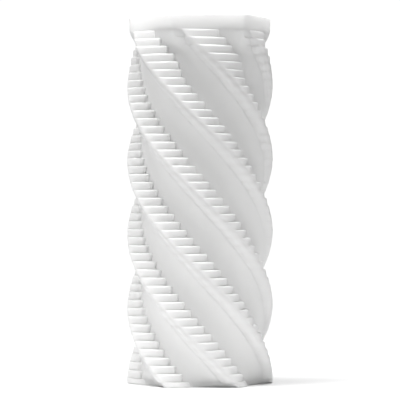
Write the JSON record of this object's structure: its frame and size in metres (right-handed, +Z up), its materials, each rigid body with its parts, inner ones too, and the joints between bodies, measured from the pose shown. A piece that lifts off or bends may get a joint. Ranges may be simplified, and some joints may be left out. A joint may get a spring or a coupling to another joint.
{
  "type": "spiral fluted sleeve",
  "caption": "White moulded round sleeve with left-handed spiral flutes, stepped ledge bands along the ridges, a plain rim and foot, and a round bore open at both ends.",
  "frame": {"origin": "centre of the foot, on the surface that the sleeve stands on", "axes": "+Z up the bore, from the foot to the plain rim; the view of the picture looks along +Y"},
  "size_m": [0.058, 0.058, 0.146],
  "materials": {
    "soft_body": "soft white elastomer, satin, slightly translucent",
    "ledges": "the same soft white elastomer, with crisp moulded steps"
  },
  "bodies": {
    "root": {"fluted_tube": "soft_body", "ledge_band_1": "ledges", "ledge_band_2": "ledges", "ledge_band_3": "ledges", "ledge_band_4": "ledges", "ledge_band_5": "ledges", "ledge_band_6": "ledges", "top_collar": "soft_body", "base_ring": "soft_body"}
  },
  "joints": []
}
